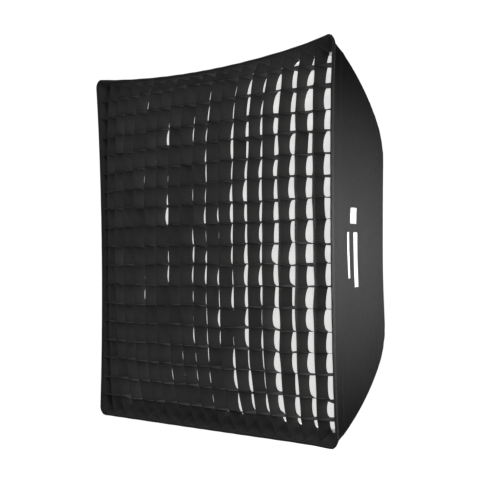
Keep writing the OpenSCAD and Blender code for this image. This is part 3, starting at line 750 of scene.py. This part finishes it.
def grid_pieces():
    """The upright and the level strips, each a band through its own crossings."""
    lattice = Lattice()
    front, back = lattice.front(), lattice.back()
    count = len(lattice.places)
    verticals, horizontals = Cloth(), Cloth()
    for i in range(count):
        x = lattice.places[i]
        low = strip_end("bottom", x, front[i, 0], back[i, 0], 2, -1)
        high = strip_end("top", x, front[i, -1], back[i, -1], 2, 1)
        fronts = [low[0], *front[i], high[0]]
        backs = [low[1], *back[i], high[1]]
        grid_strip(verticals, fronts, backs, 0, rng.normal(0, 0.9, count + 1),
                   rng.normal(-5.0, 2.4, count + 1), rng.normal(1.6, 1.0, count + 1))
    for j in range(count):
        z = lattice.places[j]
        low = strip_end("left", z, front[0, j], back[0, j], 0, -1)
        high = strip_end("right", z, front[-1, j], back[-1, j], 0, 1)
        fronts = [low[0], *front[:, j], high[0]]
        backs = [low[1], *back[:, j], high[1]]
        grid_strip(horizontals, fronts, backs, 2, rng.normal(-0.4, 0.9, count + 1),
                   rng.normal(-1.0, 2.6, count + 1), rng.normal(2.5, 1.2, count + 1))
    for name, cloth, node in (("vertical_strips", verticals, "grid_verticals"),
                              ("horizontal_strips", horizontals, "grid_horizontals")):
        piece = cloth.build(name, "egg_crate_grid", "grid_cloth", [STRIP, STRIP_EDGE], [node], crease=50)


def lip_bands(name, body, slot, stations, inset, thickness, materials, node, span=1, stitched=(),
              sag=0.0, seed=0):
    """Four bands of tape or cloth that lie inside the lip."""
    cloth = Cloth()
    for k, (side, angle) in enumerate(SIDES.items()):
        face = lip_face(side, stations, inset, span)
        if sag:
            along = face[..., 0]
            face[..., 2] -= sag * (1 + ripple(along, face[..., 1], 49, seed + k)) / 2
        face = turned(face[::-1], angle)
        cloth.sheet(face, thickness)
        normals = sheet_normals(face)
        for row, inner in stitched:
            line = face[row] - normals[row] * (thickness if inner else 0)
            cloth.stitches(line, -normals[row] if inner else normals[row], slot=1)
    return cloth.build(name, body, slot, materials, [node])


def y_station(y):
    return 1 - y / LIP_DEPTH


border = lip_bands("border_band", "egg_crate_grid", "grid_cloth",
                   np.linspace(y_station(43), y_station(2.5), 9), 3.3, 0.7, [STRIP, THREAD],
                   "grid_border", sag=0.5, seed=80, stitched=[(1, True), (-2, True)])
hook = lip_bands("grid_hook_band", "egg_crate_grid", "hook_and_loop",
                 np.linspace(y_station(34), y_station(12), 5), 2.4, 0.7, [HOOK, THREAD],
                 "grid_hook_tape", span=0.86)
lip_bands("grid_loop_band", "softbox_shell", "hook_and_loop",
          np.linspace(y_station(34), y_station(12), 5), 1.3, 0.7, [LOOP, THREAD],
          "grid_loop_tape", span=0.86)
grid_pieces()


# ---- Front diffuser ----

def hem_bands(name, body, slot, inset, thickness, materials, node, front=51.5, rear=70):
    """Four bands just behind the seam, against the panels."""
    cloth = Cloth()
    for side, angle in SIDES.items():
        face = []
        for y in np.linspace(front, rear, 4):
            turn = math.asin((y - FRONT_CENTRE[1]) / FRONT_BEND)
            rho = FRONT_CENTRE[0] + FRONT_BEND * math.cos(turn)
            x, z = section(rho / math.sqrt(2) - inset, SEAM_PULL, ROD_ROUND, 0.86, 81)
            face.append(np.stack([x, np.full_like(x, y - DEPTH), z], -1))
        face = turned(np.array(face), angle)
        cloth.sheet(face, thickness)
        normals = sheet_normals(face)
        cloth.stitches(face[-2] - normals[-2] * thickness, -normals[-2], slot=1)
    return cloth.build(name, body, slot, materials, [node])


def diffuser():
    """A white cloth stretched across behind the lip, with soft upright folds."""
    half = SEAM_R - 7.5
    depth = 54.0
    u, v = np.meshgrid(np.linspace(-1, 1, 141), np.linspace(-1, 1, 141))
    x = u * (half - SEAM_PULL * (1 - v * v))
    z = v * (half - SEAM_PULL * (1 - u * u))
    corner = np.minimum(np.abs(x), np.abs(z)) / half
    keep = 1 - np.clip((corner - 0.93) / 0.07, 0, 1) * 0.035
    x, z = x * keep, z * keep
    inside = (1 - (x / half) ** 4) * (1 - (z / half) ** 6)
    folds = np.sin(x / 11 + 0.8 * np.sin(z / 160) + 1.3 * np.sin(x / 47))
    folds += 0.6 * np.sin(x / 6.3 + 2 + 0.9 * np.sin(z / 110 + 1))
    slack = 3 * ripple(x, z, 260, 91)
    y = depth + inside * (1.1 * folds + slack) - DEPTH
    cloth = Cloth()
    cloth.sheet(np.stack([x, y, z], -1), 0.5)
    return cloth.build("diffuser_front_cloth", "front_diffuser", "diffuser_cloth", [DIFFUSER],
                       ["diffuser_sheet"])


hem = hem_bands("diffuser_hem_band", "front_diffuser", "diffuser_cloth", 3.1, 0.9,
                [DIFFUSER, WHITE_THREAD], "diffuser_hem")
hem_bands("diffuser_loop_band", "softbox_shell", "hook_and_loop", 1.7, 0.7,
          [LOOP, THREAD], "diffuser_loop_tape")
diffuser()


# ---- Inner baffle ----

BAFFLE_Y = 300
BAFFLE_HALF = 258
BAFFLE_PULL = 3
SNAP_RHO = 2 * BAFFLE_HALF / math.sqrt(2) - 14


def baffle_cloth():
    """A square of white cloth held at its four corners."""
    x, z = np.meshgrid(np.linspace(-1, 1, 61), np.linspace(-1, 1, 61))
    px = x * (BAFFLE_HALF - BAFFLE_PULL * (1 - z * z))
    pz = z * (BAFFLE_HALF - BAFFLE_PULL * (1 - x * x))
    tight = np.exp(-((1 - np.abs(x)) + (1 - np.abs(z))) * 4)
    radial = np.sin(np.arctan2(pz, px) * 4 + 0.7)
    sag = 3.0 * ripple(px, pz, 190, 33) * (1 - tight)
    sag += 1.2 * radial * (1 - np.maximum(abs(x), abs(z)) ** 4)
    py = BAFFLE_Y + sag * (1 - x ** 8) * (1 - z ** 8) - 0.4
    cloth = Cloth()
    cloth.sheet(np.stack([px, py - DEPTH, pz], -1), 0.6)
    return cloth.build("baffle_cloth_sheet", "inner_baffle", "baffle_cloth", [BAFFLE],
                       ["baffle_sheet"])


def baffle_tape():
    """Binding tape folded over the baffle's edge all the way round."""
    loop = []
    for angle in SIDES.values():
        along = np.linspace(-1, 1, 60)[:-1]
        line = np.stack([along * BAFFLE_HALF, np.full_like(along, BAFFLE_Y - DEPTH),
                         BAFFLE_HALF - BAFFLE_PULL * (1 - along ** 2)], -1)
        loop.append(turned(line, angle))
    loop = np.concatenate(loop)
    run = unit(np.roll(loop, -1, 0) - np.roll(loop, 1, 0))
    back = np.array([0.0, 1.0, 0.0])
    out = unit(np.cross(run, back[None]))
    if (out * loop).sum() < 0:
        out = -out
    profile = [(-12, 0.75), (-6, 1.15), (-1, 1.15), (0.6, 0.8), (1.0, 0), (0.6, -0.8), (-1, -1.15),
               (-6, -1.15), (-12, -0.75)]
    tape_face = np.array([loop + out * o + back * b for o, b in profile])
    tape = Cloth()
    tape.sheet(tape_face, 0.5, closed=True)
    normals = sheet_normals(tape_face, True)
    tape.stitches(tape_face[-2], normals[-2], slot=1)
    tape.stitches(tape_face[1], normals[1], slot=1)
    return tape.build("baffle_edge_tape", "inner_baffle", "tape_cloth", [BINDING, THREAD],
                      ["baffle_binding"])


# ---- Rod sleeves, straps and tapes inside the shell ----

def on_bend(angle):
    """A point on the front half of a rod, in its corner's frame."""
    p = bend_point(FRONT_CENTRE, FRONT_BEND - ROD_INSET, angle)
    return np.array([p[0], p[1] - DEPTH, 0.0])


def sleeve(cloth, start, end, radii, thickness, stitch_rows):
    """A tube of tape round a rod, from one angle of the front bend to another."""
    turns = np.linspace(0, 2 * math.pi, 33)[:-1]
    for corner in CORNERS.values():
        face = []
        for angle, radius in zip(np.linspace(start, end, len(radii)), radii):
            out = np.array([math.cos(angle), math.sin(angle), 0])
            face.append(on_bend(angle) + out * radius * np.cos(turns)[:, None]
                        + np.array([0, 0, 1]) * radius * np.sin(turns)[:, None])
        face = turned(np.array(face), corner)
        if sheet_outward(face) < 0:
            face = face[:, ::-1]
        cloth.sheet(face, thickness, closed=True)
        normals = sheet_normals(face, True)
        for row in stitch_rows:
            cloth.stitches(np.append(face[row], face[row, :1], 0),
                           np.append(normals[row], normals[row, :1], 0), length=2.4, gap=1.2, slot=1)


def sheet_outward(face):
    """Above 0 if the normals of a tube of points face out of it."""
    normals = sheet_normals(face, True)
    return ((face - face.mean(1, keepdims=True)) * normals).sum()


def rod_pockets():
    """The pocket over each rod's tip, and the keeper sleeve further back."""
    cloth = Cloth()
    step = 1 / (FRONT_BEND - ROD_INSET)
    radii = [1.2, 2.9, 3.9, 4.4, 4.5] + [4.5] * 8 + [4.7, 4.6]
    sleeve(cloth, TIP_ANGLE + 4 * step, TIP_ANGLE + 49 * step, radii, 0.8, (5, 12))
    cloth.build("rod_end_pockets", "softbox_shell", "tape_cloth", [WEBBING, THREAD], ["corner_pockets"])
    keepers = Cloth()
    half = 21 * step
    middle = math.radians(36)
    radii = [4.25, 4.15] + [4.1] * 8 + [4.15, 4.25]
    sleeve(keepers, middle - half, middle + half, radii, 0.8, (1, -2))
    keepers.build("rod_keeper_sleeves", "softbox_shell", "tape_cloth", [WEBBING, THREAD], ["rod_keepers"])


def corner_straps():
    """A strap from each rod, sewn round it, with the stud that the baffle snaps onto."""
    cloth = Cloth()
    y = BAFFLE_Y + 2.2
    angle = math.asin((y - FRONT_CENTRE[1]) / (FRONT_BEND - ROD_INSET))
    half = 10 / (FRONT_BEND - ROD_INSET)
    sleeve(cloth, angle - half, angle + half, [4.15] * 9, 0.9, (1, -2))
    root = on_bend(angle)[0] - 3.4
    stud_profile = [(4.6, 0.4), (4.4, 0.95), (2.3, 1.05), (2.2, 2.4), (2.0, 4.2), (1.2, 4.5), (0.3, 4.55)]
    turns = np.linspace(0, 2 * math.pi, 25)[:-1]
    for corner in CORNERS.values():
        across = np.linspace(-10, 10, 9)
        rho = np.linspace(root, 344.5, 12)
        face = np.array([[(r, y - DEPTH - 0.5 + 0.35 * math.sin((r - 344) / 5), w) for w in across]
                         for r in rho])
        face[-1, :, 0] += 1.5 * (np.abs(across) / 10) ** 2
        face = turned(face, corner)
        if sheet_normals(face)[..., 1].mean() > 0:
            face = face[:, ::-1]
        normals = sheet_normals(face)
        cloth.sheet(face, 1.0)
        for column in (1, -2):
            cloth.stitches(face[:, column], normals[:, column], length=2.6, gap=1.4, slot=1)
        stud = np.array([[(SNAP_RHO + r * math.cos(a), y - ahead - DEPTH, r * math.sin(a)) for a in turns]
                         for r, ahead in stud_profile])
        stud = turned(stud, corner)
        if sheet_outward(stud) < 0:
            stud = stud[:, ::-1]
        cloth.sheet(stud, 0.25, (2, 2, 2), closed=True)
    cloth.build("corner_straps", "softbox_shell", "tape_cloth", [WEBBING, THREAD, SNAP],
                ["baffle_straps"])


def seam_tapes():
    """The folded tape that covers each corner seam inside."""
    cloth = Cloth()
    rows = np.linspace(0.15, 0.985, 40)
    for angle in SIDES.values():
        face = []
        for t in rows:
            rho, y = corner_line(np.array(t))
            r = rho / math.sqrt(2) - 2.0
            fold = np.array([(r - 14, r + 0.3), (r - 9, r), (r - 5, r - 0.4), (r - 2.6, r - 1.2),
                             (r - 1.2, r - 2.6), (r - 0.4, r - 5), (r, r - 9), (r + 0.3, r - 14)])
            sag = panel_pull(t) * 0.06
            face.append([(a, y - DEPTH, b) for a, b in fold - sag])
        face = turned(np.array(face), angle)
        cloth.sheet(face, 0.6)
        normals = sheet_normals(face)
        for column in (1, -2):
            cloth.stitches(face[:, column] - normals[:, column] * 0.6, -normals[:, column], slot=1)
    cloth.build("corner_seam_tapes", "softbox_shell", "tape_cloth", [WEBBING, THREAD], ["seam_tapes"])


def collar():
    """The rear cloth turns from the square end of the panels to the round hole at the speedring."""
    cols = 193
    turn = np.linspace(0, 2 * math.pi, cols)[:-1]
    square_y = corner_line(np.array(1.0))[1] - DEPTH
    rounded = 1 / (np.abs(np.cos(turn)) ** 14 + np.abs(np.sin(turn)) ** 14) ** (1 / 14)
    face = []
    for t in np.linspace(0, 1, 13):
        r = mix(COLLAR_R * rounded, HOLE_R + 1.2, t ** 0.8)
        gather = 0.8 * math.sin(math.pi * t) * np.sin(turn * 44 + np.sin(turn * 5))
        y = mix(square_y + 0.3, HOLE_Y, t)
        r = r + gather
        face.append(np.stack([r * np.sin(turn), np.full_like(turn, y), r * np.cos(turn)], -1))
    face = np.array(face)
    if sheet_outward(face) < 0:
        face = face[:, ::-1]
    cloth = Cloth()
    cloth.sheet(face, 0.8, closed=True)
    normals = sheet_normals(face, True)
    for row in (-2, -3):
        cloth.stitches(np.append(face[row], face[row, :1], 0),
                       np.append(normals[row], normals[row, :1], 0), slot=1)
    piece = cloth.build("rear_collar_cloth", "softbox_shell", "shell_cloth", [SATIN, THREAD],
                        ["rear_collar"])


def rear_flap(side):
    """A flap that folds back over the speedring, with hook tape at its free end."""
    start, end, half, fillet, height = -28.6, -5.0, 26.0, 8.0, 77.75
    rounding = end - fillet * (1 - np.sin(np.linspace(0.2, math.pi / 2, 8)))
    rows = np.concatenate([np.linspace(start, end - fillet, 8), rounding])
    across = np.linspace(-1, 1, 33)
    face = []
    for y in rows:
        back = max(0, y - (end - fillet))
        wide = half - fillet + math.sqrt(max(fillet ** 2 - back ** 2, 0))
        lift = 0.35 * math.sin((y - start) / 6)
        face.append(np.stack([across * wide, np.full_like(across, y),
                              height + lift - 0.5 * across ** 2], -1))
    face = turned(np.array(face), SIDES[side])
    normals = sheet_normals(face)
    cloth = Cloth()
    cloth.sheet(face, 0.7, (0, 1, 0))
    for column in (2, -3):
        cloth.stitches(face[2:8, column], normals[2:8, column], length=2.8, gap=1.4, slot=2)
    cloth.stitches(face[9, 2:-2], normals[9, 2:-2], length=2.8, gap=1.4, slot=2)
    piece = cloth.build(f"flap_cloth_{side}", f"flap_{side}", "shell_cloth", [SATIN, HOOK, THREAD],
                        [f"rear_flap_{side}"])


baffle_cloth()
baffle_tape()
rod_pockets()
corner_straps()
seam_tapes()
collar()
for side in SIDES:
    rear_flap(side)


# ---- Rigid parts keep their CAD shape ----

FINISHES = {
    "mount_plate": PLATED, "bayonet_claws": PLATED, "claw_screws": ZINC,
    "speedring": RING_PAINT, "retaining_ring": RING_PAINT, "ring_screws": ZINC,
    "rod_sockets": SLEEVE, "rod_top_left": STEEL, "rod_top_right": STEEL, "rod_bottom_left": STEEL,
    "rod_bottom_right": STEEL, "rod_tips": RUBBER, "lock_screw": ZINC, "lock_knob": KNOB,
    "baffle_snaps": SNAP,
}
for node, material in FINISHES.items():
    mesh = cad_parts[node].data
    mesh.materials.clear()
    mesh.materials.append(material)


# ---- Studio ----

def camera():
    """The photograph's angle: a little right of the front corner and almost level."""
    azimuth, elevation, roll = math.radians(48.99), math.radians(-1.047), math.radians(-0.433)
    target = np.array([0.1352, -DEPTH * M, 0.0086])
    back = np.array([math.sin(azimuth) * math.cos(elevation), -math.cos(azimuth) * math.cos(elevation),
                     math.sin(elevation)])
    right = unit(np.cross(-back, [0, 0, 1]))
    up = np.cross(right, -back)
    turned_right = math.cos(roll) * right + math.sin(roll) * up
    turned_up = math.cos(roll) * up - math.sin(roll) * right
    data = bpy.data.cameras.new("camera")
    data.lens = 97.15
    data.sensor_width = 36
    eye = bpy.data.objects.new("camera", data)
    place = target + 3.0424 * back
    axes = [(turned_right[k], turned_up[k], back[k], place[k]) for k in range(3)]
    eye.matrix_world = Matrix(axes + [(0, 0, 0, 1)])
    bpy.context.scene.collection.objects.link(eye)
    bpy.context.scene.camera = eye


def area_light(name, place, target, size, power, spread=180):
    """A rectangular lamp that faces its target. Its spread is the width of its beam in degrees."""
    data = bpy.data.lights.new(name, "AREA")
    data.shape = "RECTANGLE"
    data.size, data.size_y = size
    data.energy = power
    data.spread = math.radians(spread)
    lamp = bpy.data.objects.new(name, data)
    aim = Vector(target) - Vector(place)
    lamp.location = place
    lamp.rotation_mode = "QUATERNION"
    lamp.rotation_quaternion = aim.to_track_quat("-Z", "Y")
    lamp.visible_camera = False
    bpy.context.scene.collection.objects.link(lamp)


def white_surround():
    """A white background in view, which lights the object only faintly."""
    world = bpy.data.worlds.new("studio")
    world.use_nodes = True
    tree = world.node_tree
    seen = tree.nodes["Background"]
    seen.inputs["Color"].default_value = (1, 1, 1, 1)
    seen.inputs["Strength"].default_value = 1.05
    ambient = tree.nodes.new("ShaderNodeBackground")
    ambient.inputs["Color"].default_value = (0.98, 0.99, 1, 1)
    ambient.inputs["Strength"].default_value = 0.012
    path = tree.nodes.new("ShaderNodeLightPath")
    choose = tree.nodes.new("ShaderNodeMixShader")
    tree.links.new(path.outputs["Is Camera Ray"], choose.inputs[0])
    tree.links.new(ambient.outputs[0], choose.inputs[1])
    tree.links.new(seen.outputs[0], choose.inputs[2])
    tree.links.new(choose.outputs[0], tree.nodes["World Output"].inputs["Surface"])
    bpy.context.scene.world = world
    bpy.context.scene.view_settings.view_transform = "Standard"


def lights():
    """Key and top light for the grid, a narrow beam along the right side, and a soft one behind."""
    area_light("key_light", (3.6, -2.5, 0.25), (0, -0.5, 0), (1.6, 1.4), 42)
    area_light("top_light", (1.2, -2.9, 2.6), (0, -0.5, 0), (1.6, 1.2), 30)
    area_light("side_light", (1.8, -0.1, 0.0), (0.3, -0.40, -0.02), (1.5, 0.1), 4.9, 33)
    area_light("back_light", (-3.0, 2.2, 1.6), (0, 0, 0), (1.5, 1.5), 45)


def floor():
    """A wide pale floor below the object, as bright in view as the background."""
    reach, level, cells = 60.0, -1.15, 2
    steps = np.linspace(-reach, reach, cells + 1)
    points = [(x, y, level) for y in steps for x in steps]
    corners = [i + (cells + 1) * j for j in range(cells) for i in range(cells)]
    mesh = bpy.data.meshes.new("floor")
    mesh.from_pydata(points, [], [(a, a + 1, a + cells + 2, a + cells + 1) for a in corners])
    paper = Shader("floor_paper", (0.45, 0.45, 0.45), 0.95, Specular_IOR_Level=0.0)
    paper.bsdf.inputs["Emission Color"].default_value = (1, 1, 1, 1)
    paper.tint(paper.remap(paper.noise(paper.solid_place(), 3, 4), 0, 0.4), (0.42, 0.42, 0.42))
    lit = paper.node("ShaderNodeLightPath")
    paper.link(paper.math("MULTIPLY", lit.outputs["Is Camera Ray"], 1.02),
               paper.bsdf.inputs["Emission Strength"])
    mesh.materials.append(paper.material)
    sheet = bpy.data.objects.new("floor", mesh)
    bpy.context.scene.collection.objects.link(sheet)


camera()
white_surround()
lights()
floor()
